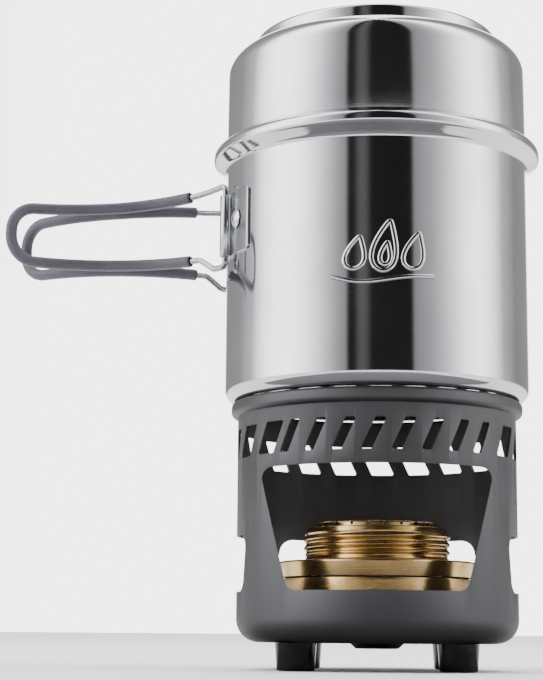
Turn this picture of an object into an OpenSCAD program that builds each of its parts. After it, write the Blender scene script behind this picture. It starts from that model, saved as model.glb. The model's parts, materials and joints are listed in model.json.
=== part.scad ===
// Spirit stove cook set: a pressed stand with feet, a brass spirit burner,
// a pot with two folding wire handles, and a smaller pot upside-down as its lid.
// Millimetres. +Z is up, -Y is the front, and the handles point along -X.
// The origin is on the stand's axis, level with the soles of the feet.

/* [Stand] */
// Outer radius of the stand's wall
stand_r = 52.6; // [50:0.1:54]
// Thickness of the stand's sheet
stand_wall = 1; // [0.8:0.1:1.4]
// Height of the underside of the floor above the ground
floor_z = 9.9; // [8:0.1:12]
// Radius of the rounded edge between floor and wall
stand_corner = 8.5; // [6:0.5:10]
// Height of the rolled edge that the pot stands on
stand_top = 99; // [96:0.5:104]
// Outer radius of the rolled edge
bead_r = 55.1; // [54.6:0.1:56]
// Half width of the front window at its top edge
window_top = 42.4; // [38:0.1:44]
// Half width of the front window at its bottom edge
window_bottom = 31.7; // [28:0.1:36]
// Width of the eight flame slots at the front
narrow_slot = 4; // [3:0.1:5]
// Width of the sixteen flame slots round the sides and back
wide_slot = 9; // [6:0.1:10]
// Sideways lean of a flame slot from its bottom to its top
slot_lean = 5.4; // [3:0.1:7]

/* [Feet] */
// Distance of each foot from the middle, along X and along Y
foot_pos = 28.9; // [26:0.1:30]
// Radius of a foot where it meets the floor
foot_top_r = 7.5; // [6:0.05:8]
// Radius of a foot at the ground
foot_sole_r = 6.85; // [5:0.05:7]

/* [Burner] */
// Outer radius of the burner's cup
cup_r = 35.5; // [34:0.1:36]
// Outer radius of the shoulder above the cup
shoulder_r = 37.1; // [36.5:0.1:38]
// Radius over the threads of the neck
thread_r = 27.5; // [26.5:0.1:28]
// Inner radius of the filling well
well_r = 19; // [17:0.1:19.5]
// Number of jets round the burner
jets = 24; // [16:1:30]
// Radius of one jet
jet_r = 0.6; // [0.4:0.05:0.7]

/* [Pots] */
// Outer radius of the walls of both pots
pot_r = 57.8; // [57:0.1:58.4]
// Thickness of the steel of both pots
pot_wall = 0.7; // [0.5:0.05:0.9]
// Height of the pot's underside
pot_base_z = 99.2; // [99.2:0.1:104]
// Height of the pot's rim
pot_rim_z = 198.9; // [196:0.1:204]
// Largest radius of the collar under the rim
collar_r = 63; // [62.5:0.1:64]
// Height of the lid's shoulder, where its wall ends
lid_shoulder_z = 236.5; // [232:0.5:240]
// Height of the lid's raised base ring
lid_top_z = 242.4; // [239:0.1:245]
// Radius of the lid's raised base ring
lid_ring_r = 47.2; // [45:0.1:48]

/* [Handles] */
// Distance of each hinge pin behind or in front of the middle
hinge_y = 20; // [18:0.5:22]
// Distance of each hinge pin to the left of the middle
hinge_x = 56.7; // [56.5:0.1:58]
// Height of the bottom of the hinge barrels
barrel_z = 152.8; // [150:0.1:154]
// Length of the hinge barrels
barrel_h = 23.7; // [22:0.1:26]
// Radius of the hinge pins
pin_r = 1.25; // [1.2:0.01:1.26]
// Radius of the handle wire
wire_r = 1.15; // [1:0.05:1.2]
// Outer radius of the silicone sleeves
sleeve_r = 2.2; // [1.8:0.05:2.2]
// Plan radius that each handle is bent to
bend_r = 65.1; // [64:0.1:68]
// Height that the front handle rides above the middle, and the rear one below it
handle_lift = 0.6; // [0.4:0.1:0.8]

/* [Hidden] */
$fn = 96;

stand_in = stand_r - stand_wall;
floor_top = floor_z + stand_wall;
boss_r = 9;
boss_drop = 2.1;
front_window_z = [28.2, 72.2];
side_window_z = [28.2, 49];
rear_window_z = [28.2, 50];
slot_z = [77, 88.5];
slot_step = [11.67, 16.67];
slot_start = [-36, 63.3];
foot_gap = 0.02;
rivet_r = 2;
rivet_head_r = 3.6;
burner_z = floor_top + 0.15;
cup_wall = 0.7;
cup_top = 33.3;
shoulder_z = 39.6;
neck_top = 52;
thread_foot = 41.6;
thread_pitch = 3;
bead_run = 1.7;
jet_ring_r = 23.6;
jet_ring_z = 54;
knuckle_r = 2.2;
bore_r = 1.3;
bracket_in = pot_r + 0.05;
bracket_t = 0.95;
bracket_half = 36.3;
bracket_top = 177.2;
bracket_rivet_deg = 27;
bracket_rivet_z = 166;
bracket_shank_r = 1.6;
bracket_head_r = 3.6;
arm_start = 17;

// Points of an arc about c, from angle a to angle b in degrees
function arc(c, r, a, b, n = 8) =
    [for (i = [0 : n]) c + r * [cos(a + (b - a) * i / n), sin(a + (b - a) * i / n)]];

// A vector of length one along v
function unit(v) = v / norm(v);

// One rounded corner: the arc that joins a-b to b-c with radius r
function corner(a, b, c, r, n) =
    let (u = unit(a - b), v = unit(c - b))
    let (half = acos(max(-1, min(1, u * v))) / 2)
    let (m = b + unit(u + v) * r / sin(half))
    let (p = b + u * r / tan(half) - m, q = b + v * r / tan(half) - m)
    let (a0 = atan2(p[1], p[0]), turn = atan2(q[1], q[0]) - a0)
    let (sweep = turn > 180 ? turn - 360 : (turn < -180 ? turn + 360 : turn))
    arc(m, r, a0, a0 + sweep, n);

// A closed outline with each corner rounded by its own radius
function rounded(pts, radii, n = 6) =
    let (k = len(pts))
    [for (i = [0 : k - 1]) each corner(pts[(i + k - 1) % k], pts[i], pts[(i + 1) % k], radii[i], n)];

// An open path whose inner corners are rounded by their own radii
function bent(pts, radii, n = 8) =
    let (k = len(pts))
    [pts[0], for (i = [1 : k - 2]) each corner(pts[i - 1], pts[i], pts[i + 1], radii[i - 1], n),
     pts[k - 1]];

// Unit normal to the left of a path at point i
function left(path, i) =
    let (a = path[max(0, i - 1)], b = path[min(len(path) - 1, i + 1)])
    let (d = unit(b - a))
    [-d[1], d[0]];

// A sheet of thickness t whose right-hand face follows the path
function sheet(path, t) =
    [each path,
     for (i = [len(path) - 1 : -1 : 0]) path[i] + t * left(path, i)];

module turned(path, t) {
    rotate_extrude() polygon(sheet(path, t));
}

// ---- Stand -------------------------------------------------------------

// Outer face of the stand from the centre of the boss to under the rolled edge
function stand_path() =
    bent([[0, floor_z - boss_drop], [boss_r - 1, floor_z - boss_drop], [boss_r + 1.2, floor_z],
          [stand_r, floor_z], [stand_r, stand_top - 2]],
         [2, 2, stand_corner]);

module rolled_edge() {
    tube_r = (bead_r - stand_in) / 2;
    rotate_extrude() {
        translate([stand_in + tube_r, stand_top - tube_r]) circle(tube_r);
        translate([stand_in, stand_top - tube_r - bead_run]) square([2 * tube_r, bead_run]);
        translate([stand_in + tube_r, stand_top - tube_r - bead_run]) circle(tube_r);
    }
}

// A window cut straight through one side of the wall, seen from the front
module window(z, half_bottom, half_top, radius) {
    outline = rounded([[-half_bottom, z[0]], [half_bottom, z[0]], [half_top, z[1]], [-half_top, z[1]]],
                      [radius, radius, radius, radius]);
    translate([0, -20, 0]) rotate([90, 0, 0]) linear_extrude(50) polygon(outline);
}

// A leaning flame slot in the front of the wall
module slot(width) {
    low = (width - slot_lean) / 2;
    high = (width + slot_lean) / 2;
    outline = rounded([[low - width, slot_z[0]], [low, slot_z[0]], [high, slot_z[1]],
                       [high - width, slot_z[1]]], [0.7, 0.7, 0.7, 0.7], 3);
    translate([0, -46, 0]) rotate([90, 0, 0]) linear_extrude(10) polygon(outline);
}

module stand_shell() {
    color("#4d4e50") difference() {
        union() {
            turned(stand_path(), stand_wall);
            rolled_edge();
        }
        window(front_window_z, window_bottom, window_top, 4);
        for (side = [90, -90]) rotate([0, 0, side]) window(side_window_z, 19.4, 22.6, 5);
        rotate([0, 0, 180]) window(rear_window_z, 42, 37.5, 5);
        for (k = [0 : 7]) rotate([0, 0, slot_start[0] + slot_step[0] * k]) slot(narrow_slot);
        for (k = [0 : 15]) rotate([0, 0, slot_start[1] + slot_step[1] * k]) slot(wide_slot);
        for (x = [-1, 1], y = [-1, 1])
            translate([x * foot_pos, y * foot_pos, floor_z - 1]) cylinder(h = 3, r = rivet_r);
    }
}

// ---- Feet --------------------------------------------------------------

module foot(x, y) {
    outline = concat([[rivet_r, floor_z - foot_gap], [rivet_r, 3], [0, 3], [0, 0]],
                     arc([foot_sole_r - 0.9, 0.9], 0.9, -90, 0, 6),
                     [[foot_top_r, floor_z - foot_gap]]);
    color("#141416") translate([x * foot_pos, y * foot_pos, 0]) rotate_extrude() polygon(outline);
}

module foot_rivet(x, y) {
    head = concat([[0, 3.2], [rivet_r - foot_gap, 3.2], [rivet_r - foot_gap, floor_top + foot_gap],
                   [rivet_head_r, floor_top + foot_gap]],
                  arc([rivet_head_r - 1, floor_top + 0.5], 1, 0, 90, 5), [[0, floor_top + 1.5]]);
    color("#a8a8ac") translate([x * foot_pos, y * foot_pos, 0]) rotate_extrude() polygon(head);
}

// ---- Burner ------------------------------------------------------------

module burner_cup() {
    path = bent([[0, burner_z], [cup_r, burner_z], [cup_r, cup_top]], [4]);
    color("#b08d4f") turned(path, cup_wall);
}

// The shoulder, the threaded neck and the ring of jets, pressed from one sheet
module burner_neck() {
    valley = thread_r - 0.9;
    threads = [for (k = [0 : 2], a = [0 : 30 : 330])
               [valley + 0.45 * (1 - cos(a)), thread_foot + thread_pitch * (k + a / 360)]];
    path = concat(bent([[cup_r + 0.45, cup_top + 0.3], [shoulder_r, shoulder_z],
                        [valley + 0.6, shoulder_z + 0.3], [valley, thread_foot]], [0.9, 1.2], 5),
                  [for (i = [1 : len(threads) - 1]) threads[i]],
                  bent([[valley, thread_foot + 3 * thread_pitch], [valley - 0.3, neck_top], [jet_ring_r, neck_top],
                        [jet_ring_r, jet_ring_z], [well_r + 1.2, jet_ring_z]],
                       [0.2, 0.4, 0.8], 4));
    color("#b8944f") difference() {
        turned(path, 0.6);
        for (k = [0 : jets - 1]) rotate([0, 0, (k + 0.5) * 360 / jets])
            translate([0, -jet_ring_r + 2, (neck_top + jet_ring_z) / 2 + 0.1]) rotate([90, 0, 0])
                cylinder(h = 4, r = jet_r, $fn = 16);
    }
}

// The open tube in the middle, notched at its foot so that fuel reaches the wick
module burner_well() {
    foot = burner_z + cup_wall + 0.1;
    color("#a8853f") difference() {
        rotate_extrude() polygon([[well_r, foot], [well_r + 0.6, foot], [well_r + 0.6, jet_ring_z - 0.8],
                                  [well_r + 1.1, jet_ring_z - 0.2], [well_r + 1.1, jet_ring_z],
                                  [well_r + 0.6, jet_ring_z], [well_r, jet_ring_z - 0.6]]);
        for (k = [0 : 5]) rotate([0, 0, 60 * k]) translate([0, -2, foot - 1]) cube([25, 4, 4]);
    }
}

module burner_wick() {
    foot = burner_z + cup_wall + 0.3;
    color("#d8d2c4") rotate_extrude() translate([well_r + 0.8, foot]) square([4.6, 32]);
}

// ---- Pot ---------------------------------------------------------------

// Outer face of the pot, from the middle of its base to its rim
function pot_path() =
    let (lip = pot_rim_z)
    bent([[0, pot_base_z], [pot_r, pot_base_z], [pot_r, lip - 9.4], [collar_r, lip - 6.2],
          [collar_r, lip - 2.9], [pot_r + pot_wall + 0.35, lip]],
         [5, 2.4, 1.8, 2.6]);

module pot_shell() {
    color("#c6c7cb") difference() {
        turned(pot_path(), pot_wall);
        for (s = [-1, 1]) bracket_rivet_axis(s) translate([0, 0, pot_r - 3]) cylinder(h = 6, r = bracket_shank_r);
    }
}

// Places +Z outwards along a bracket rivet, s = -1 for the front wing and 1 for the rear one
module bracket_rivet_axis(s) {
    translate([0, 0, bracket_rivet_z]) rotate([0, 0, 180 - s * bracket_rivet_deg])
        rotate([0, 90, 0]) children();
}

// The bent plate on the pot's wall with a rolled barrel for each handle
module handle_bracket() {
    plate_out = bracket_in + bracket_t;
    reach = plate_out + 10;
    chamfer_z = barrel_z + 3.2;
    color("#b9babf") difference() {
        union() {
            intersection() {
                translate([0, 0, barrel_z - 0.6]) difference() {
                    cylinder(h = bracket_top - barrel_z + 0.6, r = plate_out);
                    translate([0, 0, -1]) cylinder(h = bracket_top - barrel_z + 3, r = bracket_in);
                }
                translate([0, 0, barrel_z - 1]) linear_extrude(bracket_top)
                    polygon([[0, 0], for (a = [-bracket_half, 0, bracket_half])
                             reach * 1.3 * [-cos(a), sin(a)]]);
            }
            for (s = [-1, 1]) {
                translate([-hinge_x, s * hinge_y, barrel_z]) cylinder(h = barrel_h, r = knuckle_r);
                rotate([0, 0, 180 - s * 24.5]) translate([bracket_in + 0.2, -2.4, barrel_z])
                    cube([1.3, 4.8, barrel_h]);
            }
        }
        translate([0, 0, barrel_z - 2]) cylinder(h = 40, r = bracket_in);
        for (s = [-1, 1]) {
            translate([-hinge_x, s * hinge_y, barrel_z - 1]) cylinder(h = barrel_h + 2, r = bore_r);
            bracket_rivet_axis(s) translate([0, 0, pot_r - 3]) cylinder(h = 8, r = bracket_shank_r);
            bracket_rivet_axis(s) translate([0, 0, plate_out]) cylinder(h = 4, r = bracket_head_r + 0.15);
            rotate([0, 0, 180 - s * 28.5]) translate([pot_r - 2, 0, chamfer_z - 3])
                rotate([s * 24, 0, 0]) translate([0, s > 0 ? -14 : 0, -12]) cube([8, 14, 12]);
        }
    }
}

// Dome head outside the wing, shank through both sheets, flat head inside the pot
module bracket_rivet(s) {
    inner = pot_r - pot_wall;
    outer = bracket_in + bracket_t;
    dome = 1.3;
    ball = (bracket_head_r * bracket_head_r + dome * dome) / (2 * dome);
    rise = asin(bracket_head_r / ball);
    outline = concat([[0, inner - 1.3], [2.9, inner - 1.3], [3.1, inner - 1.1], [3.1, inner - 0.2],
                      [bracket_shank_r - foot_gap, inner - 0.2], [bracket_shank_r - foot_gap, outer + 0.1],
                      [bracket_head_r, outer + 0.1]],
                     arc([0, outer + 0.1 + dome - ball], ball, 90 - rise, 90, 8));
    color("#cfd0d4") bracket_rivet_axis(s) rotate_extrude($fn = 48) polygon(outline);
}

// ---- Handles -----------------------------------------------------------

// One handle laid out flat: distance along the bend, and height above the ground
function loop_outline(lift) =
    let (far = 90.3, top = 180 + lift, foot = 148.4 + lift)
    bent([[0, 173 + lift], [0, top], [14, 178.3 + lift], [48, 175.9 + lift], [far, 173.7 + lift],
          [far, 153.1 + lift], [13, 152.8 + lift], [6.2, foot], [0, foot], [0, 154 + lift]],
         [2.2, 16, 200, 9.7, 9.7, 3.2, 3.2, 2.2], 8);

// The flat layout wrapped on to its bend, s = -1 for the front handle and 1 for the rear one
function wrapped(p, s) =
    let (start = 46.5)
    let (c = [-hinge_x - bend_r * cos(start), -hinge_y - bend_r * sin(start)])
    let (a = start + p[0] / bend_r * 180 / PI)
    [c[0] + bend_r * cos(a), -s * (c[1] + bend_r * sin(a)), p[1]];

// A long straight run is cut into steps so that it follows the bend
function stepped(path, step) =
    [for (i = [0 : len(path) - 2])
        let (n = max(1, ceil(norm(path[i + 1] - path[i]) / step)))
        for (k = [0 : n - 1]) path[i] + (path[i + 1] - path[i]) * k / n,
     path[len(path) - 1]];

// A ring of points round point i of a 3D route
function ring(route, i, r, sides) =
    let (a = route[max(0, i - 1)], b = route[min(len(route) - 1, i + 1)])
    let (t = unit(b - a), spoke = [route[i][0] + 101.5, route[i][1] + (route[i][1] > 0 ? -1 : 1) * 67.2, 0])
    let (u = unit(spoke - t * (spoke * t)), v = cross(t, u))
    [for (k = [0 : sides - 1]) route[i] + r * (u * cos(360 * k / sides) + v * sin(360 * k / sides))];

module swept_rod(route, r, sides) {
    n = len(route);
    pts = [for (i = [0 : n - 1]) each ring(route, i, r, sides)];
    sides_faces = [for (i = [0 : n - 2], k = [0 : sides - 1])
                   [i * sides + k, i * sides + (k + 1) % sides,
                    (i + 1) * sides + (k + 1) % sides, (i + 1) * sides + k]];
    ends = [[for (k = [sides - 1 : -1 : 0]) k], [for (k = [0 : sides - 1]) (n - 1) * sides + k]];
    polyhedron(pts, concat([for (f = sides_faces) [f[3], f[2], f[1], f[0]]],
                           [for (e = ends) [for (k = [len(e) - 1 : -1 : 0]) e[k]]]));
}

// A sleeve: a rod with the wire's hollow along it
module swept_tube(route, r, hole, sides) {
    n = len(route);
    m = n * sides;
    pts = concat([for (i = [0 : n - 1]) each ring(route, i, r, sides)],
                 [for (i = [0 : n - 1]) each ring(route, i, hole, sides)]);
    quads = [for (i = [0 : n - 2], k = [0 : sides - 1]) let (a = i * sides + k, b = i * sides + (k + 1) % sides)
             each [[a + sides, b + sides, b, a], [m + a, m + b, m + b + sides, m + a + sides]]];
    caps = [for (k = [0 : sides - 1]) let (b = (k + 1) % sides, last = (n - 1) * sides)
            each [[k, b, m + b, m + k], [last + b, last + k, m + last + k, m + last + b]]];
    polyhedron(pts, concat(quads, caps));
}

module handle_wire(s) {
    lift = -s * handle_lift;
    route = [for (p = stepped(loop_outline(lift), 3.6)) wrapped(p, s)];
    color("#b4b5ba") {
        swept_rod(route, wire_r, 10);
        translate([-hinge_x, s * hinge_y, 166]) cylinder(h = barrel_z + barrel_h + 0.7 - 166, r = pin_r, $fn = 48);
        translate([-hinge_x, s * hinge_y, barrel_z - 0.7]) cylinder(h = 10, r = pin_r, $fn = 48);
    }
}

module handle_sleeve(s) {
    covered = [for (p = stepped(loop_outline(-s * handle_lift), 2.9)) if (p[0] >= arm_start) wrapped(p, s)];
    color("#4b4a52") swept_tube(covered, sleeve_r, wire_r + 0.1, 12);
}

// ---- Lid ---------------------------------------------------------------

module lid_pot() {
    path = bent([[pot_r, pot_rim_z - 7.2], [pot_r, lid_shoulder_z], [lid_ring_r, lid_shoulder_z],
                 [lid_ring_r, lid_top_z], [0, lid_top_z]],
                [9.2, 0.9, 1.6]);
    color("#c6c7cb") turned(path, pot_wall);
}

stand_shell();
foot(-1, -1);  // foot_front_left
foot(1, -1);  // foot_front_right
foot(-1, 1);  // foot_rear_left
foot(1, 1);  // foot_rear_right
foot_rivet(-1, -1);  // foot_rivet_front_left
foot_rivet(1, -1);  // foot_rivet_front_right
foot_rivet(-1, 1);  // foot_rivet_rear_left
foot_rivet(1, 1);  // foot_rivet_rear_right
burner_cup();
burner_neck();
burner_well();
burner_wick();
pot_shell();
handle_bracket();
bracket_rivet(-1);  // bracket_rivet_front
bracket_rivet(1);  // bracket_rivet_rear
handle_wire(-1);  // handle_wire_front
handle_sleeve(-1);  // handle_sleeve_front
handle_wire(1);  // handle_wire_rear
handle_sleeve(1);  // handle_sleeve_rear
lid_pot();
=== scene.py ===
import bpy
import bmesh
import json
import math
from mathutils import Matrix, Vector


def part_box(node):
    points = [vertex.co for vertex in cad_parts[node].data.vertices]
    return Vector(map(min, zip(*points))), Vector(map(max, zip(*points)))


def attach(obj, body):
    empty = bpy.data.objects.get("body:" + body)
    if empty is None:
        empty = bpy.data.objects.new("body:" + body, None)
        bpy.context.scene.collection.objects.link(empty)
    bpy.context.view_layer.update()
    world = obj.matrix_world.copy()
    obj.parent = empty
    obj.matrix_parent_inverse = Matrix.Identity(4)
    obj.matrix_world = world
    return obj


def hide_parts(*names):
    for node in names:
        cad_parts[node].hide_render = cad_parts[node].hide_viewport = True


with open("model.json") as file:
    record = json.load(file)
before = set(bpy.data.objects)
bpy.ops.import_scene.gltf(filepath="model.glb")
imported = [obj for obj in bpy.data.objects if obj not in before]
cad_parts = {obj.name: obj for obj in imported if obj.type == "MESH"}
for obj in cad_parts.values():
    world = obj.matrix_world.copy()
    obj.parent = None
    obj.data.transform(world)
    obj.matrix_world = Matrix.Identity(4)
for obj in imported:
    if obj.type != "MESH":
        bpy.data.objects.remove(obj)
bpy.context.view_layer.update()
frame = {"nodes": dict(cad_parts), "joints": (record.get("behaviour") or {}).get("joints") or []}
cadNodes = frame["nodes"]
jointPlace = {joint["name"]: joint.get("pos_m") for joint in frame["joints"]}
mm = 0.001


# Colours and shader nodes

def hexColour(text):
    channels = [int(text[i:i + 2], 16) / 255 for i in (1, 3, 5)]
    linear = [c / 12.92 if c <= 0.04045 else ((c + 0.055) / 1.055) ** 2.4 for c in channels]
    return (*linear, 1.0)


def addNode(tree, kind, inputs=None, **settings):
    # an input takes a value, another node's output, or a node, which gives its first output
    node = tree.nodes.new(kind)
    for key, value in settings.items():
        setattr(node, key, value)
    for socket, value in (inputs or {}).items():
        if isinstance(value, bpy.types.Node):
            value = value.outputs[0]
        if isinstance(value, bpy.types.NodeSocket):
            tree.links.new(value, node.inputs[socket])
        else:
            node.inputs[socket].default_value = value
    return node


def newMaterial(name, values):
    material = bpy.data.materials.new(name)
    material.use_nodes = True
    tree = material.node_tree
    shader = tree.nodes["Principled BSDF"]
    for socket, value in values.items():
        shader.inputs[socket].default_value = value
    place = addNode(tree, "ShaderNodeTexCoord").outputs["Object"]
    return material, tree, shader, place


def plainMaterial(name, colour, roughness):
    return newMaterial(name, {"Base Color": hexColour(colour), "Roughness": roughness})[0]


def turnedCoordinate(tree, place):
    # distance from the axis plus height: constant along every line that a lathe or a spinning wheel leaves
    axes = addNode(tree, "ShaderNodeSeparateXYZ", {0: place}).outputs
    across = addNode(tree, "ShaderNodeCombineXYZ", {0: axes["X"], 1: axes["Y"]})
    radius = addNode(tree, "ShaderNodeVectorMath", {0: across}, operation="LENGTH").outputs["Value"]
    return addNode(tree, "ShaderNodeMath", {0: radius, 1: axes["Z"]}, operation="ADD")


def linesAndClouds(tree, place, lineWidth, cloudSize):
    # turned lines, and slow clouds that break them up
    # real lines are too fine to show, so these are coarser
    along = addNode(tree, "ShaderNodeMath", {0: turnedCoordinate(tree, place), 1: 1 / lineWidth},
                    operation="MULTIPLY")
    lines = addNode(tree, "ShaderNodeTexNoise", {"W": along, "Scale": 1.0, "Detail": 3.0},
                    noise_dimensions="1D")
    clouds = addNode(tree, "ShaderNodeTexNoise",
                     {"Vector": place, "Scale": 1 / cloudSize, "Detail": 4.0, "Roughness": 0.6})
    return lines, clouds


def blended(tree, first, share, second):
    part = addNode(tree, "ShaderNodeMath", {0: first, 1: share}, operation="MULTIPLY")
    return addNode(tree, "ShaderNodeMath", {0: second, 1: 1 - share, 2: part}, operation="MULTIPLY_ADD")


def dressSurface(tree, shader, tint, sheen, relief):
    # each of the three begins with its pattern
    # tint and sheen go on with the part of the pattern's range that they use, and what it becomes
    pattern, low, high, first, second = tint
    share = addNode(tree, "ShaderNodeMapRange", {"Value": pattern, "From Min": low, "From Max": high})
    shade = addNode(tree, "ShaderNodeMix", {0: share, 6: hexColour(first), 7: hexColour(second)},
                    data_type="RGBA")
    tree.links.new(shade.outputs[2], shader.inputs["Base Color"])
    pattern, low, high, smooth, rough = sheen
    share = addNode(tree, "ShaderNodeMapRange", {"Value": pattern, "From Min": low, "From Max": high,
                                                 "To Min": smooth, "To Max": rough})
    tree.links.new(share.outputs[0], shader.inputs["Roughness"])
    pattern, strength, distance = relief
    bump = addNode(tree, "ShaderNodeBump", {"Height": pattern, "Strength": strength, "Distance": distance})
    tree.links.new(bump.outputs[0], shader.inputs["Normal"])


# Stainless steel, deep drawn and then polished on a wheel: a mirror with faint rings round it
def polishedSteel(name, tint, roughness):
    material, tree, shader, place = newMaterial(name, {"Metallic": 1.0})
    lines, clouds = linesAndClouds(tree, place, 0.55 * mm, 30 * mm)
    mixed = blended(tree, lines, 0.6, clouds)
    dressSurface(tree, shader, (clouds, 0.35, 0.7, *tint), (mixed, 0.3, 0.7, *roughness),
                 (lines, 0.035, 0.1 * mm))
    return material


# Brass, turned on a lathe and left bare: warm, with fine tool rings and a little tarnish
def turnedBrass(name, tint, roughness):
    material, tree, shader, place = newMaterial(name, {"Metallic": 1.0})
    lines, clouds = linesAndClouds(tree, place, 0.35 * mm, 9 * mm)
    mixed = blended(tree, lines, 0.5, clouds)
    dressSurface(tree, shader, (clouds, 0.42, 0.72, *tint), (mixed, 0.3, 0.7, *roughness),
                 (lines, 0.12, 0.1 * mm))
    return material


# Aluminium sheet, blasted and hard anodised: a dark satin grey with an even grain, which is drawn
# coarser than the real one so that it shows
def hardAnodised(name, tint, roughness):
    material, tree, shader, place = newMaterial(name, {"Metallic": 1.0})
    grain = addNode(tree, "ShaderNodeTexNoise",
                    {"Vector": place, "Scale": 1 / (0.5 * mm), "Detail": 3.0, "Roughness": 0.7})
    clouds = addNode(tree, "ShaderNodeTexNoise", {"Vector": place, "Scale": 1 / (22 * mm), "Detail": 3.0})
    mixed = blended(tree, grain, 0.45, clouds)
    dressSurface(tree, shader, (mixed, 0.3, 0.7, *tint), (mixed, 0.3, 0.7, *roughness),
                 (grain, 0.08, 0.05 * mm))
    return material


# Stainless strip and drawn wire: smooth and bright, with short marks along the work
def drawnSteel(name, tint, roughness, markScale):
    material, tree, shader, place = newMaterial(name, {"Metallic": 1.0})
    stretched = addNode(tree, "ShaderNodeMapping", {"Vector": place, "Scale": markScale})
    marks = addNode(tree, "ShaderNodeTexNoise", {"Vector": stretched, "Scale": 1.0, "Detail": 4.0,
                                                 "Roughness": 0.65})
    dressSurface(tree, shader, (marks, 0.3, 0.7, *tint), (marks, 0.3, 0.7, *roughness),
                 (marks, 0.06, 0.05 * mm))
    return material


# Silicone tube, extruded: a soft satin with fine dust marks, between rubber and plastic
def extrudedSilicone(name, tint, roughness):
    material, tree, shader, place = newMaterial(name, {"IOR": 1.42, "Specular IOR Level": 0.5})
    fine = addNode(tree, "ShaderNodeTexNoise", {"Vector": place, "Scale": 1 / (0.6 * mm), "Detail": 4.0})
    broad = addNode(tree, "ShaderNodeTexNoise", {"Vector": place, "Scale": 1 / (14 * mm), "Detail": 2.0})
    mixed = blended(tree, fine, 0.4, broad)
    dressSurface(tree, shader, (mixed, 0.35, 0.65, *tint), (mixed, 0.3, 0.7, *roughness),
                 (fine, 0.05, 0.1 * mm))
    return material


# Nylon feet, moulded in a polished tool: black gloss with a slight orange peel
def mouldedNylon(name, tint, roughness):
    material, tree, shader, place = newMaterial(name, {"IOR": 1.45, "Specular IOR Level": 0.35})
    peel = addNode(tree, "ShaderNodeTexNoise", {"Vector": place, "Scale": 1 / (1.4 * mm), "Detail": 2.0})
    scuffs = addNode(tree, "ShaderNodeTexNoise",
                     {"Vector": place, "Scale": 1 / (5 * mm), "Detail": 5.0, "Roughness": 0.7})
    dressSurface(tree, shader, (scuffs, 0.4, 0.75, *tint), (scuffs, 0.35, 0.7, *roughness),
                 (peel, 0.05, 0.1 * mm))
    return material


# Cotton wick, wound as a loose felt: matt off-white, ridged round the well
def woundCotton(name, tint, roughness):
    material, tree, shader, place = newMaterial(name, {})
    ridge = addNode(tree, "ShaderNodeMath", {0: turnedCoordinate(tree, place), 1: math.tau / (1.2 * mm)},
                    operation="MULTIPLY")
    strands = addNode(tree, "ShaderNodeMath", {0: ridge}, operation="SINE")
    fibre = addNode(tree, "ShaderNodeTexNoise",
                    {"Vector": place, "Scale": 1 / (0.8 * mm), "Detail": 5.0, "Roughness": 0.8})
    height = addNode(tree, "ShaderNodeMath", {0: strands, 1: 0.4, 2: fibre}, operation="MULTIPLY_ADD")
    dressSurface(tree, shader, (fibre, 0.0, 1.0, *tint), (fibre, 0.0, 1.0, *roughness),
                 (height, 0.5, 0.3 * mm))
    return material


potSteel = polishedSteel("polishedStainlessPot", ("#c4c5c9", "#d2d3d6"), (0.05, 0.11))
lidSteel = polishedSteel("polishedStainlessLid", ("#c4c5c9", "#d2d3d6"), (0.06, 0.12))
standGrey = hardAnodised("hardAnodisedAluminium", ("#535355", "#606063"), (0.5, 0.64))
brass = turnedBrass("turnedBrass", ("#d3b27c", "#b08c55"), (0.17, 0.3))
wellBrass = turnedBrass("drawnBrassWell", ("#bb9a63", "#94754a"), (0.25, 0.4))
stripSteel = drawnSteel("satinStainlessStrip", ("#b4b5b8", "#bfc0c3"), (0.18, 0.26), (700, 700, 90))
wireSteel = drawnSteel("drawnStainlessWire", ("#8f9093", "#a5a6a9"), (0.16, 0.26), (900, 900, 900))
rivetSteel = drawnSteel("headedStainlessRivet", ("#c2c3c6", "#d4d5d8"), (0.1, 0.2), (1500, 1500, 1500))
silicone = extrudedSilicone("extrudedSilicone", ("#45444d", "#53525c"), (0.34, 0.48))
nylon = mouldedNylon("mouldedBlackNylon", ("#0b0b0d", "#1a1a1d"), (0.1, 0.24))
cotton = woundCotton("woundCottonWick", ("#b9b09c", "#e6e0d2"), (0.95, 0.95))
print("materials made")


# Outlines and meshes

def arcPoints(centre, radius, start, end, steps):
    angles = [start + (end - start) * i / steps for i in range(steps + 1)]
    return [(centre[0] + radius * math.cos(a), centre[1] + radius * math.sin(a)) for a in angles]


def roundedCorner(a, b, c, radius, steps):
    a, b, c = Vector(a), Vector(b), Vector(c)
    toA, toC = (a - b).normalized(), (c - b).normalized()
    half = toA.angle(toC) / 2
    middle = b + (toA + toC).normalized() * radius / math.sin(half)
    first, last = b + toA * radius / math.tan(half) - middle, b + toC * radius / math.tan(half) - middle
    start = math.atan2(first.y, first.x)
    turn = (math.atan2(last.y, last.x) - start + math.pi) % math.tau - math.pi
    return arcPoints(middle, radius, start, start + turn, steps)


def bentPath(points, radii, steps=12):
    path = [points[0]]
    for i, radius in enumerate(radii):
        path += roundedCorner(points[i], points[i + 1], points[i + 2], radius, steps)
    return path + [points[-1]]


def roundedLoop(points, radii, steps=8):
    count = len(points)
    loop = []
    for i in range(count):
        loop += roundedCorner(points[i - 1], points[i], points[(i + 1) % count], radii[i], steps)
    return loop


def sheetOutline(path, thickness):
    inner = []
    for i, point in enumerate(path):
        a, b = Vector(path[max(0, i - 1)]), Vector(path[min(len(path) - 1, i + 1)])
        along = (b - a).normalized()
        inner.append((point[0] - thickness * along.y, point[1] + thickness * along.x))
    return list(path) + inner[::-1]


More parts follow.
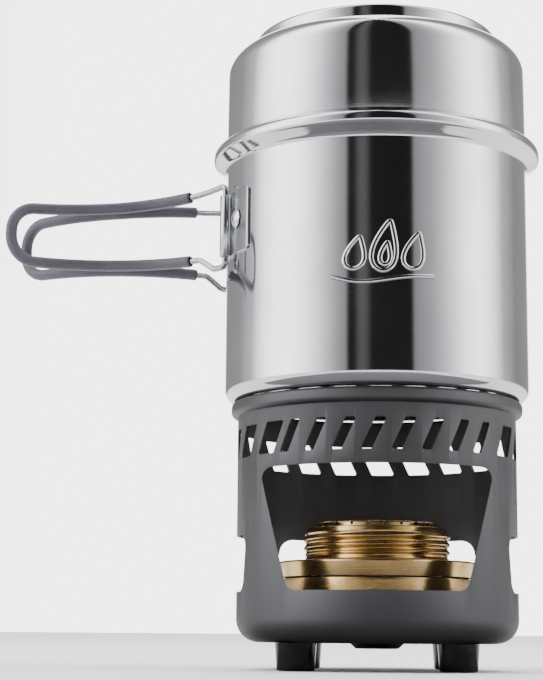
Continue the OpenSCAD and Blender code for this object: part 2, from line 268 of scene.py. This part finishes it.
def roundedSheet(path, thickness, steps=4):
    # a sheet outline whose free end is rounded as a rolled or sheared edge is
    outline = sheetOutline(path, thickness)
    last = len(path)
    a, b = Vector(outline[last - 1]), Vector(outline[last])
    middle, half = (a + b) / 2, (b - a) / 2
    along = (Vector(path[-1]) - Vector(path[-2])).normalized() * half.length
    cap = []
    for i in range(1, steps):
        angle = math.pi * i / steps
        cap.append(tuple(middle - half * math.cos(angle) + along * (math.sin(angle) - 1)))
    start, end = outline[:last - 1], outline[last + 1:]
    shoulder = [tuple(a - along), tuple(b - along)]
    return start + [shoulder[0]] + cap + [shoulder[1]] + end


def finishMesh(name, bm, material, sharpAngle):
    bmesh.ops.remove_doubles(bm, verts=bm.verts, dist=0.0005 * mm)
    bmesh.ops.recalc_face_normals(bm, faces=bm.faces)
    mesh = bpy.data.meshes.new(name)
    bm.to_mesh(mesh)
    bm.free()
    mesh.materials.append(material)
    mesh.shade_smooth()
    mesh.set_sharp_from_angle(angle=math.radians(sharpAngle))
    piece = bpy.data.objects.new(name, mesh)
    bpy.context.scene.collection.objects.link(piece)
    return piece


def turnedPiece(name, outline, material, segments=192, sharpAngle=35):
    # a closed outline of radius and height in millimetres, turned about the axis
    bm = bmesh.new()
    rings = []
    for radius, height in outline:
        if radius < 1e-6:
            rings.append([bm.verts.new((0, 0, height * mm))] * segments)
        else:
            rings.append([bm.verts.new((radius * math.cos(a) * mm, radius * math.sin(a) * mm, height * mm))
                          for a in (math.tau * k / segments for k in range(segments))])
    for i, ring in enumerate(rings):
        following = rings[(i + 1) % len(rings)]
        for k in range(segments):
            corners = [ring[k], ring[(k + 1) % segments], following[(k + 1) % segments], following[k]]
            unique = [v for n, v in enumerate(corners) if v not in corners[:n]]
            if len(unique) > 2:
                bm.faces.new(unique)
    return finishMesh(name, bm, material, sharpAngle)


def prism(outline, depth, turn):
    # an outline across X and up Z, run along -Y and turned about Z: a cutter for one side of a wall
    bm = bmesh.new()
    rows = [[bm.verts.new((x * mm, -y * mm, z * mm)) for x, z in outline] for y in depth]
    bm.faces.new(rows[0])
    bm.faces.new(rows[1][::-1])
    for k in range(len(outline)):
        n = (k + 1) % len(outline)
        bm.faces.new([rows[0][n], rows[0][k], rows[1][k], rows[1][n]])
    bmesh.ops.recalc_face_normals(bm, faces=bm.faces)
    bmesh.ops.rotate(bm, verts=bm.verts, cent=(0, 0, 0), matrix=Matrix.Rotation(math.radians(turn), 3, "Z"))
    return bm


def joinMeshes(name, parts):
    joined = bmesh.new()
    for part in parts:
        mesh = bpy.data.meshes.new(name)
        part.to_mesh(mesh)
        part.free()
        joined.from_mesh(mesh)
        bpy.data.meshes.remove(mesh)
    mesh = bpy.data.meshes.new(name)
    joined.to_mesh(mesh)
    joined.free()
    piece = bpy.data.objects.new(name, mesh)
    bpy.context.scene.collection.objects.link(piece)
    return piece


def applyModifiers(piece):
    bpy.context.view_layer.update()
    graph = bpy.context.evaluated_depsgraph_get()
    mesh, before = bpy.data.meshes.new_from_object(piece.evaluated_get(graph)), piece.data
    piece.modifiers.clear()
    piece.data = mesh
    bpy.data.meshes.remove(before)


def cutAway(piece, cutter):
    cut = piece.modifiers.new("cut", "BOOLEAN")
    cut.operation, cut.solver, cut.object = "DIFFERENCE", "EXACT", cutter
    applyModifiers(piece)
    bpy.data.objects.remove(cutter)


def softenEdges(piece, width, angle):
    bevel = piece.modifiers.new("softEdges", "BEVEL")
    bevel.width, bevel.segments, bevel.limit_method = width * mm, 2, "ANGLE"
    bevel.angle_limit = math.radians(angle)
    applyModifiers(piece)
    piece.data.shade_smooth()
    piece.data.set_sharp_from_angle(angle=math.radians(angle))


def dressNode(nodeName, material):
    # a CAD node that is shown as it is, in its own material
    cadNodes[nodeName].data.materials.clear()
    cadNodes[nodeName].data.materials.append(material)


def placePiece(piece, body, node):
    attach(piece, body)
    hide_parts(node)


# Geometry Nodes

def newTree(name, inputs):
    tree = bpy.data.node_groups.new(name, "GeometryNodeTree")
    tree.interface.new_socket("Geometry", in_out="OUTPUT", socket_type="NodeSocketGeometry")
    tree.interface.new_socket("Geometry", in_out="INPUT", socket_type="NodeSocketGeometry")
    for label, kind in inputs:
        tree.interface.new_socket(label, in_out="INPUT", socket_type="NodeSocket" + kind)
    entry = addNode(tree, "NodeGroupInput")
    leave = addNode(tree, "NodeGroupOutput")
    return tree, entry.outputs, leave.inputs


def endTree(tree, geometry, material, leave):
    real = addNode(tree, "GeometryNodeRealizeInstances", {0: geometry})
    painted = addNode(tree, "GeometryNodeSetMaterial", {"Geometry": real, "Material": material})
    tree.links.new(painted.outputs[0], leave[0])


def runTree(name, source, tree, values):
    piece = bpy.data.objects.new(name, source)
    bpy.context.scene.collection.objects.link(piece)
    modifier = piece.modifiers.new(name, "NODES")
    modifier.node_group = tree
    for item in tree.interface.items_tree:
        if item.in_out == "INPUT" and item.name in values:
            modifier[item.identifier] = values[item.name]
    applyModifiers(piece)
    return piece


def ringOfCutters(name, sample, angles, material):
    # copies of one cutter at the given angles round the axis
    tree, entry, leave = newTree(name + "Tree", [("Cutter", "Object"), ("First Angle", "Float"),
                                                 ("Step Angle", "Float"), ("Count", "Int"),
                                                 ("Material", "Material")])
    cutter = addNode(tree, "GeometryNodeObjectInfo", {"Object": entry["Cutter"]}).outputs["Geometry"]
    spots = addNode(tree, "GeometryNodePoints", {"Count": entry["Count"]})
    index = addNode(tree, "GeometryNodeInputIndex")
    turn = addNode(tree, "ShaderNodeMath", {0: index, 1: entry["Step Angle"], 2: entry["First Angle"]},
                   operation="MULTIPLY_ADD")
    axis = addNode(tree, "ShaderNodeCombineXYZ", {"Z": turn})
    copies = addNode(tree, "GeometryNodeInstanceOnPoints",
                     {"Points": spots, "Instance": cutter, "Rotation": axis})
    endTree(tree, copies, entry["Material"], leave)
    first, step, count = angles
    ring = runTree(name, bpy.data.meshes.new(name), tree,
                   {"Cutter": sample, "First Angle": math.radians(first), "Step Angle": math.radians(step),
                    "Count": count, "Material": material})
    bpy.data.objects.remove(sample)
    return ring


# Stand

standLook = {
    "sheet": 1.0, "corner": 8.5,
    "bossRadius": 9.0, "bossDrop": 2.1, "bossSlope": (-1.0, 1.2), "bossBend": 2,
    "frontWindow": {"heights": (28.2, 72.2), "halfWidths": (31.7, 42.4), "corner": 4},
    "sideWindow": {"heights": (28.2, 49.0), "halfWidths": (19.4, 22.6), "corner": 5},
    "rearWindow": {"heights": (28.2, 50.0), "halfWidths": (42.0, 37.5), "corner": 5},
    "windowDepth": (20, 70), "slotDepth": (46, 56),
    "slotHeights": (77.0, 88.5), "slotLean": 5.4, "slotCorner": 0.7,
    "narrowSlots": {"width": 4.0, "first": -36.0, "step": 11.67, "count": 8},
    "wideSlots": {"width": 9.0, "first": 63.3, "step": 16.67, "count": 16},
    "beadReach": 2.5, "beadHeight": 3.75, "beadRun": 1.7, "edgeWidth": 0.16, "edgeAngle": 40,
}


def windowCutter(window, depth, turn):
    (low, high), (halfLow, halfHigh) = window["heights"], window["halfWidths"]
    outline = roundedLoop([(-halfLow, low), (halfLow, low), (halfHigh, high), (-halfHigh, high)],
                          [window["corner"]] * 4)
    return prism(outline, depth, turn)


def slotCutters(name, look):
    slots, lean, (foot, head) = look[name], look["slotLean"], look["slotHeights"]
    width = slots["width"]
    low, high = (width - lean) / 2, (width + lean) / 2
    outline = roundedLoop([(low - width, foot), (low, foot), (high, head), (high - width, head)],
                          [look["slotCorner"]] * 4, 4)
    sample = joinMeshes(name + "Sample", [prism(outline, look["slotDepth"], 0)])
    return ringOfCutters(name, sample, (slots["first"], slots["step"], slots["count"]), standGrey)


def buildStand(look):
    low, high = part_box("stand_shell")
    beadRadius, top = high.x / mm, high.z / mm
    boss, (slopeStart, slopeEnd) = look["bossRadius"], look["bossSlope"]
    bossFloor = low.z / mm
    floor = bossFloor + look["bossDrop"]
    wall = beadRadius - look["beadReach"]
    inside = wall - look["sheet"]
    path = bentPath([(0, bossFloor), (boss + slopeStart, bossFloor), (boss + slopeEnd, floor),
                     (wall, floor), (wall, top - look["beadHeight"] - look["beadRun"])],
                    [look["bossBend"], look["bossBend"], look["corner"]])
    # the top edge is rolled outwards into a bead, with a short straight run under its round top
    tubeRadius = (beadRadius - inside) / 2
    middle = inside + tubeRadius
    bead = arcPoints((middle, top - tubeRadius - look["beadRun"]), tubeRadius, -math.pi / 2, 0, 8)
    bead += arcPoints((middle, top - tubeRadius), tubeRadius, 0, math.pi, 16)
    outline = path + bead[1:] + sheetOutline(path, look["sheet"])[len(path):]
    stand = turnedPiece("standShell", outline, standGrey, 288)
    windows = [windowCutter(look[name], look["windowDepth"], turn) for name, turn in
               (("frontWindow", 0), ("sideWindow", 90), ("sideWindow", -90), ("rearWindow", 180))]
    cutAway(stand, joinMeshes("windowCutters", windows))
    for name in ("narrowSlots", "wideSlots"):
        cutAway(stand, slotCutters(name, look))
    softenEdges(stand, look["edgeWidth"], look["edgeAngle"])
    placePiece(stand, "stand", "stand_shell")


buildStand(standLook)
print("stand made")

for nodeName in cadNodes:
    if "_rivet_" in nodeName:
        dressNode(nodeName, rivetSteel)
    elif nodeName.startswith("foot_"):
        dressNode(nodeName, nylon)


# Burner

burnerLook = {
    "sheet": 0.7, "cupCorner": 4.0, "cupRadius": 35.5, "cupTaper": (0.5, 9, 30), "cupLip": 0.35,
    "neckSheet": 0.6, "shoulder": 39.6, "skirt": (0.45, 0.25),
    "threadFoot": 41.6, "threadPitch": 3.0, "threadTurns": 3, "threadDepth": 0.9, "threadRadius": 27.5,
    "neckTop": 52.0, "jetRing": 23.6, "jetCount": 24, "jetRadius": 0.6, "ringInner": 20.2,
}


def buildCup(look):
    low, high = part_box("burner_cup")
    radius = look["cupRadius"]
    foot, top = low.z / mm, high.z / mm
    inward, taperHeight, bend = look["cupTaper"]
    lip = look["cupLip"]
    path = bentPath([(0, foot), (radius - inward, foot), (radius, foot + taperHeight), (radius, top - 1.2)],
                    [look["cupCorner"], bend])
    path += arcPoints((radius - lip, top - lip), lip, 0, math.pi / 2, 4)
    cup = turnedPiece("burnerCup", sheetOutline(path, look["sheet"]), brass)
    placePiece(cup, "burner", "burner_cup")


def buildNeck(look):
    low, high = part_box("burner_neck")
    foot, top, shoulder = low.z / mm, high.z / mm, high.x / mm
    valley = look["threadRadius"] - look["threadDepth"]
    sheet = look["neckSheet"]
    shoulderTop = look["shoulder"]
    skirtOut, skirtUp = look["skirt"]
    threadFoot, pitch = look["threadFoot"], look["threadPitch"]
    threadTop = threadFoot + look["threadTurns"] * pitch
    below = bentPath([(look["cupRadius"] + skirtOut, foot + skirtUp), (shoulder - 0.05, shoulderTop),
                      (valley + 0.6, shoulderTop + 0.3), (valley, threadFoot)], [0.7, 1.1], 10)
    steps = 22 * look["threadTurns"]
    heights = [threadFoot + (threadTop - threadFoot) * i / steps for i in range(1, steps)]
    above = bentPath([(valley, threadTop + 0.1), (valley - 0.2, look["neckTop"]),
                      (look["jetRing"], look["neckTop"]), (look["jetRing"], top), (look["ringInner"], top)],
                     [0.3, 0.4, 0.8], 8)
    path = below + [(valley, height) for height in heights] + above
    outline = sheetOutline(path, sheet)
    neck = turnedPiece("burnerNeck", outline, brass, 240)
    # the thread is wound on the plain neck as a real screw, fading out at both ends
    for vertex in neck.data.vertices:
        x, y, z = vertex.co / mm
        radius = math.hypot(x, y)
        if abs(radius - valley) > sheet + 0.1 or not threadFoot < z < threadTop:
            continue
        wave = 0.5 - 0.5 * math.cos(math.tau * (z - threadFoot) / pitch - math.atan2(y, x))
        fade = min(1, z - threadFoot, threadTop - z)
        grown = (radius + look["threadDepth"] * wave * fade) / radius
        vertex.co.x *= grown
        vertex.co.y *= grown
    jetHeight = (look["neckTop"] + top) / 2 + 0.1
    outline = arcPoints((0, jetHeight), look["jetRadius"], 0, math.tau, 12)[:-1]
    sample = joinMeshes("jetSample", [prism(outline, (look["jetRing"] - 2, look["jetRing"] + 2), 0)])
    step = 360 / look["jetCount"]
    cutAway(neck, ringOfCutters("jets", sample, (step / 2, step, look["jetCount"]), brass))
    neck.data.shade_smooth()
    neck.data.set_sharp_from_angle(angle=math.radians(50))
    placePiece(neck, "burner", "burner_neck")


buildCup(burnerLook)
buildNeck(burnerLook)
dressNode("burner_well", wellBrass)
dressNode("burner_wick", cotton)
print("burner made")


# Pot and lid

potLook = {
    "sheet": 0.7, "wall": 57.8, "baseCorner": 5.0, "flareFoot": 9.4, "flareTop": 6.2, "beadTop": 2.9,
    "rimGap": 0.35, "collarCorners": (2.4, 1.8, 2.6),
}
lidLook = {
    "sheet": 0.7, "wall": 57.8, "ring": 47.2, "ringCorner": 1.6, "ringFoot": 0.9, "shoulderCorner": 9.2,
    "shoulderDrop": 5.9,
}


def buildPot(look):
    low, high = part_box("pot_shell")
    base, rim, collar = low.z / mm, high.z / mm, high.x / mm
    wall, sheet = look["wall"], look["sheet"]
    path = bentPath([(0, base), (wall, base), (wall, rim - look["flareFoot"]),
                     (collar, rim - look["flareTop"]), (collar, rim - look["beadTop"]),
                     (wall + sheet + look["rimGap"], rim)],
                    [look["baseCorner"], *look["collarCorners"]], 14)
    pot = turnedPiece("potShell", roundedSheet(path, sheet), potSteel, 256)
    placePiece(pot, "pot", "pot_shell")


def buildLid(look):
    low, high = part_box("lid_pot")
    foot, top = low.z / mm, high.z / mm
    wall, ring = look["wall"], look["ring"]
    shoulder = top - look["shoulderDrop"]
    path = bentPath([(0, top), (ring, top), (ring, shoulder), (wall, shoulder), (wall, foot)],
                    [look["ringCorner"], look["ringFoot"], look["shoulderCorner"]], 14)
    lid = turnedPiece("lidPot", roundedSheet(path, -look["sheet"]), lidSteel, 256)
    placePiece(lid, "lid", "lid_pot")


# A plain mark pressed outwards in the pot's wall: three flames over a curved line
emblemLook = {
    "height": 136.0, "azimuth": 2.5, "strokeWidth": 1.7, "relief": 0.34, "depth": 0.62,
    # middle, foot, width, height and lean of each flame
    "flames": ((-10.5, 4.0, 9.0, 11.5, 2.2), (0.0, 3.2, 11.0, 18.0, 2.6), (10.5, 4.0, 9.0, 13.0, 2.4),
               (0.6, 5.4, 4.6, 8.0, 1.0)),
    "line": (18.5, 1.6, 0.9),
}


def flameLoop(middle, foot, width, height, lean, steps=40):
    points = []
    for k in range(steps):
        turn = math.tau * k / steps
        rise = (1 - math.cos(turn)) / 2
        # an oval that narrows and leans over towards its tip
        across = width / 2 * math.sin(turn) * (1 - 0.72 * rise ** 1.4)
        points.append((middle + across + lean * rise ** 2, foot + height * rise))
    return points


def buildEmblem(look, wall):
    strokes = [(flameLoop(*flame), True) for flame in look["flames"]]
    half, sag, curl = look["line"]
    strokes.append(([(x, sag * (x / half) ** 2 + curl * math.sin(x / half * math.pi))
                     for x in (half * k / 20 for k in range(-20, 21))], False))
    points, edges = [], []
    for stroke, closed in strokes:
        first = len(points)
        for x, z in stroke:
            angle = math.radians(look["azimuth"] - 90) + x / wall
            height = (look["height"] + z) * mm
            points.append((wall * math.cos(angle) * mm, wall * math.sin(angle) * mm, height))
        edges += [(k, k + 1) for k in range(first, len(points) - 1)]
        if closed:
            edges.append((len(points) - 1, first))
    strokesMesh = bpy.data.meshes.new("emblemStrokes")
    strokesMesh.from_pydata(points, edges, [])
    tree, entry, leave = newTree("pressedStrokes", [("Stroke Width", "Float"), ("Relief", "Float"),
                                                    ("Depth", "Float"), ("Material", "Material")])
    curve = addNode(tree, "GeometryNodeMeshToCurve", {"Mesh": entry["Geometry"]})
    axes = addNode(tree, "ShaderNodeSeparateXYZ", {0: addNode(tree, "GeometryNodeInputPosition")}).outputs
    outward = addNode(tree, "ShaderNodeCombineXYZ", {0: axes["X"], 1: axes["Y"]})
    unitOut = addNode(tree, "ShaderNodeVectorMath", {0: outward}, operation="NORMALIZE")
    facing = addNode(tree, "GeometryNodeSetCurveNormal", {"Curve": curve, "Normal": unitOut}, mode="FREE")
    ring = addNode(tree, "GeometryNodeCurvePrimitiveCircle", {"Resolution": 20, "Radius": 0.5})
    # the stroke's section is an oval, as deep as relief and depth together, with its middle lifted to suit
    thick = addNode(tree, "ShaderNodeMath", {0: entry["Relief"], 1: entry["Depth"]}, operation="ADD")
    size = addNode(tree, "ShaderNodeCombineXYZ", {0: thick, 1: entry["Stroke Width"], 2: thick})
    sunk = addNode(tree, "ShaderNodeMath", {0: entry["Relief"], 1: entry["Depth"]}, operation="SUBTRACT")
    lift = addNode(tree, "ShaderNodeMath", {0: sunk, 1: 0.5}, operation="MULTIPLY")
    offset = addNode(tree, "ShaderNodeCombineXYZ", {0: lift})
    profile = addNode(tree, "GeometryNodeTransform",
                      {"Geometry": ring, "Translation": offset, "Scale": size})
    swept = addNode(tree, "GeometryNodeCurveToMesh",
                    {"Curve": facing, "Profile Curve": profile, "Fill Caps": True})
    endTree(tree, swept, entry["Material"], leave)
    emblem = runTree("pressedEmblem", strokesMesh, tree,
                     {"Stroke Width": look["strokeWidth"] * mm, "Relief": look["relief"] * mm,
                      "Depth": look["depth"] * mm, "Material": potSteel})
    emblem.data.shade_smooth()
    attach(emblem, "pot")


buildPot(potLook)
buildEmblem(emblemLook, potLook["wall"])
buildLid(lidLook)
print("pots made")


# Bracket: one strip wrapped on the wall, with a rolled barrel near each end for the wire

bracketLook = {
    "gap": 0.05, "sheet": 0.7, "halfAngle": 36.2, "low": 152.9, "corner": 1.8, "bends": 73,
    "edgeWidth": 0.16, "edgeAngle": 55,
    "barrelRadius": 2.2, "bore": 1.3, "barrelLow": 152.8, "barrelHigh": 176.5, "edge": 0.2,
}


def wrappedStrip(look, wall, high):
    radius = wall + look["gap"]
    half = math.radians(look["halfAngle"]) * radius
    low, bends = look["low"], look["bends"]
    outline = roundedLoop([(-half, low), (half, low), (half, high), (-half, high)], [look["corner"]] * 4, 6)
    bm = bmesh.new()
    bm.faces.new([bm.verts.new((across, 0, z)) for across, z in outline])
    # cut into upright strips, so that the flat sheet can follow the round wall
    for k in range(bends):
        middle = half * (2 * k + 1 - bends) / bends
        everything = bm.verts[:] + bm.edges[:] + bm.faces[:]
        bmesh.ops.bisect_plane(bm, geom=everything, dist=1e-4, plane_co=(middle, 0, 0), plane_no=(1, 0, 0))
    front = bmesh.ops.extrude_face_region(bm, geom=bm.faces[:])["geom"]
    for vertex in [part for part in front if isinstance(part, bmesh.types.BMVert)]:
        vertex.co.y = look["sheet"]
    for vertex in bm.verts:
        angle, out = vertex.co.x / radius, radius + vertex.co.y
        vertex.co = (-out * math.cos(angle) * mm, out * math.sin(angle) * mm, vertex.co.z * mm)
    bmesh.ops.recalc_face_normals(bm, faces=bm.faces)
    return bm


def barrel(look, place):
    outer, bore, edge = look["barrelRadius"], look["bore"], look["edge"]
    low, high = look["barrelLow"], look["barrelHigh"]
    outline = [(bore, low + edge), (bore + edge, low), (outer - edge, low), (outer, low + edge),
               (outer, high - edge), (outer - edge, high), (bore + edge, high), (bore, high - edge)]
    upright = turnedPiece("barrel", outline, stripSteel, 40)
    bm = bmesh.new()
    bm.from_mesh(upright.data)
    bpy.data.objects.remove(upright)
    bmesh.ops.translate(bm, verts=bm.verts, vec=(place[0], place[1], 0))
    return bm


def buildBracket(look, wall):
    parts = [wrappedStrip(look, wall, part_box("handle_bracket")[1].z / mm)]
    parts += [barrel(look, jointPlace[name]) for name in ("handle_front_fold", "handle_rear_fold")]
    bracket = joinMeshes("handleBracket", parts)
    bracket.data.materials.append(stripSteel)
    softenEdges(bracket, look["edgeWidth"], look["edgeAngle"])
    placePiece(bracket, "pot", "handle_bracket")


buildBracket(bracketLook, potLook["wall"])
print("bracket made")


# Handles

handleLook = {
    "bend": 65.1, "startAngle": 46.5, "wire": 1.15, "step": 1.2,
    "sleeve": 2.18, "hollow": 1.45, "sleeveStart": 17.0,
    "lift": 0.6, "top": 180.0, "foot": 148.4, "footRun": 6.2, "barrel": (173.0, 154.0),
    "arms": ((14, 178.3), (48, 175.9), (90.3, 173.7), (90.3, 153.1), (13, 152.8)),
    "cornerRadii": (2.2, 16, 200, 9.7, 9.7, 3.2, 3.2, 2.2),
}


def handleRoute(look, side):
    lift = -side * look["lift"]
    # laid out flat first, as distance along the bend and height, then bent round
    flat = [(0, look["barrel"][0]), (0, look["top"]), *look["arms"], (look["footRun"], look["foot"]),
            (0, look["foot"]), (0, look["barrel"][1])]
    flat = bentPath([(along, z + lift) for along, z in flat], look["cornerRadii"], 12)
    even = [flat[0]]
    for a, b in zip(flat, flat[1:]):
        count = max(1, math.ceil(math.dist(a, b) / look["step"]))
        even += [tuple(Vector(a).lerp(Vector(b), k / count)) for k in range(1, count + 1)]
    hingeX, hingeY = (place / mm for place in jointPlace["handle_front_fold"][:2])
    start, bend = math.radians(look["startAngle"]), look["bend"]
    centre = (hingeX - bend * math.cos(start), hingeY - bend * math.sin(start))
    route = []
    for along, z in even:
        angle = start + along / bend
        x, y = centre[0] + bend * math.cos(angle), centre[1] + bend * math.sin(angle)
        route.append((along, Vector((x, -side * y, z))))
    return route, Vector((centre[0], -side * centre[1], 0))


def tube(name, route, centre, stations, material, sides):
    # rings of a given radius at places along a route: stations are (index on the route, radius)
    bm = bmesh.new()
    rings = []
    for index, radius in stations:
        low, high = max(0, math.floor(index) - 1), min(len(route) - 1, math.floor(index) + 1)
        along = (route[high] - route[low]).normalized()
        whole = min(len(route) - 2, math.floor(index))
        middle = route[whole].lerp(route[whole + 1], index - whole)
        spoke = middle - centre
        spoke.z = 0
        u = (spoke - along * spoke.dot(along)).normalized()
        v = along.cross(u)
        rings.append([bm.verts.new((middle + radius * (u * math.cos(a) + v * math.sin(a))) * mm)
                      for a in (math.tau * k / sides for k in range(sides))])
    for ring, following in zip(rings, rings[1:]):
        for k in range(sides):
            n = (k + 1) % sides
            bm.faces.new([ring[k], ring[n], following[n], following[k]])
    bm.faces.new(rings[0][::-1])
    bm.faces.new(rings[-1])
    return finishMesh(name, bm, material, 45)


def buildHandle(look, side, label):
    route, centre = handleRoute(look, side)
    points = [point for along, point in route]
    stations = [(i, look["wire"]) for i in range(len(points))]
    wire = tube("handleWire" + label, points, centre, stations, wireSteel, 24)
    covered = [i for i, (along, point) in enumerate(route) if along >= look["sleeveStart"]]
    first, end = covered[0], covered[-1]
    outer, hollow = look["sleeve"], look["hollow"]
    lip = [(1.2, hollow - 0.25), (0.0, hollow), (0.0, outer - 0.35), (0.1, outer - 0.12), (0.3, outer)]
    stations = [(first + back, radius) for back, radius in lip]
    stations += [(i, outer) for i in range(first + 1, end)]
    stations += [(end - back, radius) for back, radius in lip[::-1]]
    sleeve = tube("handleSleeve" + label, points, centre, stations, silicone, 32)
    body = "handle_" + label.lower()
    for piece, node, slot in ((wire, "handle_wire_", "wire_steel"), (sleeve, "handle_sleeve_", "sleeve")):
        placePiece(piece, body, node + label.lower())


buildHandle(handleLook, -1, "Front")
buildHandle(handleLook, 1, "Rear")
print("handles made")


# Floor, light and camera

studio = {
    "floorSize": 40.0, "floor": "#f4f4f3", "floorRoughness": 0.9,
    "flag": "#6c6c6d", "flagRoughness": 0.95,
    "flagReach": 0.45, "flagHalfWidth": 0.24, "flagHeight": 0.0004,
    "softBoxSize": 1.8, "softBoxPlace": (0, 0.2, 1.6), "softBoxPower": 26.0,
    "brightest": 5.0,
    # strength of the light by direction: degrees round from the camera's side, plus to the right
    "walls": (
        (-180, 4.6), (-168, 4.6), (-160, 0.35), (-124, 0.5), (-106, 1.0), (-92, 3.6),
        (-80, 5.0), (-66, 5.0), (-56, 4.0), (-46, 2.5), (-38, 1.4), (-29, 0.7),
        (-22, 0.45), (-20.5, 0.02), (-16, 0.03), (-12, 0.16), (-8, 0.16), (-3, 0.025),
        (26.5, 0.02), (28.5, 0.42), (42, 0.7), (50, 1.1), (60, 2.0), (71, 3.6),
        (83, 4.4), (95, 3.0), (109, 0.9), (127, 0.42), (160, 0.42), (168, 4.6),
        (180, 4.6),
    ),
}
camera = {
    "lens": 90.07, "sensor": 36.0, "clip": (0.01, 50), "place": (0, -0.6444, 0.01336),
    "yaw": 3.571, "pitch": 9.765, "roll": 0.454,
}


def stagePlane(name, low, high, height, material):
    (x0, y0), (x1, y1) = low, high
    mesh = bpy.data.meshes.new(name)
    corners = [(x0, y0, height), (x1, y0, height), (x1, y1, height), (x0, y1, height)]
    mesh.from_pydata(corners, [], [(0, 1, 2, 3)])
    mesh.materials.append(material)
    plane = bpy.data.objects.new(name, mesh)
    bpy.context.scene.collection.objects.link(plane)
    return plane


def buildStudio(look):
    # one wrap-round wall of bright and dark upright bands, as seen in the polished steel
    world = bpy.data.worlds.new("studio")
    bpy.context.scene.world = world
    world.use_nodes = True
    tree = world.node_tree
    direction = addNode(tree, "ShaderNodeTexCoord").outputs["Generated"]
    axes = addNode(tree, "ShaderNodeSeparateXYZ", {0: direction}).outputs
    towards = addNode(tree, "ShaderNodeMath", {0: axes["Y"], 1: -1}, operation="MULTIPLY")
    angle = addNode(tree, "ShaderNodeMath", {0: axes["X"], 1: towards}, operation="ARCTAN2")
    around = addNode(tree, "ShaderNodeMapRange",
                     {"Value": angle, "From Min": -math.pi, "From Max": math.pi})
    ramp = addNode(tree, "ShaderNodeValToRGB", {0: around})
    stops = ramp.color_ramp.elements
    for azimuth, strength in look["walls"][1:-1]:
        stops.new((azimuth + 180) / 360)
    for stop, (azimuth, strength) in zip(stops, look["walls"]):
        level = strength / look["brightest"]
        stop.position, stop.color = (azimuth + 180) / 360, (level, level, level, 1)
    background = tree.nodes["Background"]
    background.inputs["Strength"].default_value = look["brightest"]
    tree.links.new(ramp.outputs[0], background.inputs["Color"])
    half = look["floorSize"] / 2
    paint = plainMaterial("paintedFloor", look["floor"], look["floorRoughness"])
    stagePlane("floor", (-half, -half), (half, half), 0, paint)
    # a grey flag lying on the floor in front, out of sight, that the undersides of the steel reflect
    cloth = plainMaterial("greyFlagCloth", look["flag"], look["flagRoughness"])
    side = look["flagHalfWidth"]
    flag = stagePlane("floorFlag", (-side, -look["flagReach"]), (side, 0), look["flagHeight"], cloth)
    flag.visible_camera = flag.visible_diffuse = flag.visible_shadow = False
    lamp = bpy.data.lights.new("topSoftBox", "AREA")
    lamp.size, lamp.energy = look["softBoxSize"], look["softBoxPower"]
    softBox = bpy.data.objects.new("topSoftBox", lamp)
    softBox.location = look["softBoxPlace"]
    softBox.visible_camera = softBox.visible_glossy = False
    bpy.context.scene.collection.objects.link(softBox)


def buildCamera(look):
    data = bpy.data.cameras.new("camera")
    data.sensor_width, data.lens = look["sensor"], look["lens"]
    data.clip_start, data.clip_end = look["clip"]
    viewer = bpy.data.objects.new("camera", data)
    yaw, pitch, roll = (math.radians(look[name]) for name in ("yaw", "pitch", "roll"))
    turn = Matrix.Rotation(yaw, 4, "Z") @ Matrix.Rotation(math.pi / 2 + pitch, 4, "X")
    turn = turn @ Matrix.Rotation(roll, 4, "Z")
    viewer.matrix_world = Matrix.Translation(look["place"]) @ turn
    bpy.context.scene.collection.objects.link(viewer)
    bpy.context.scene.camera = viewer


buildStudio(studio)
buildCamera(camera)
print("studio made")
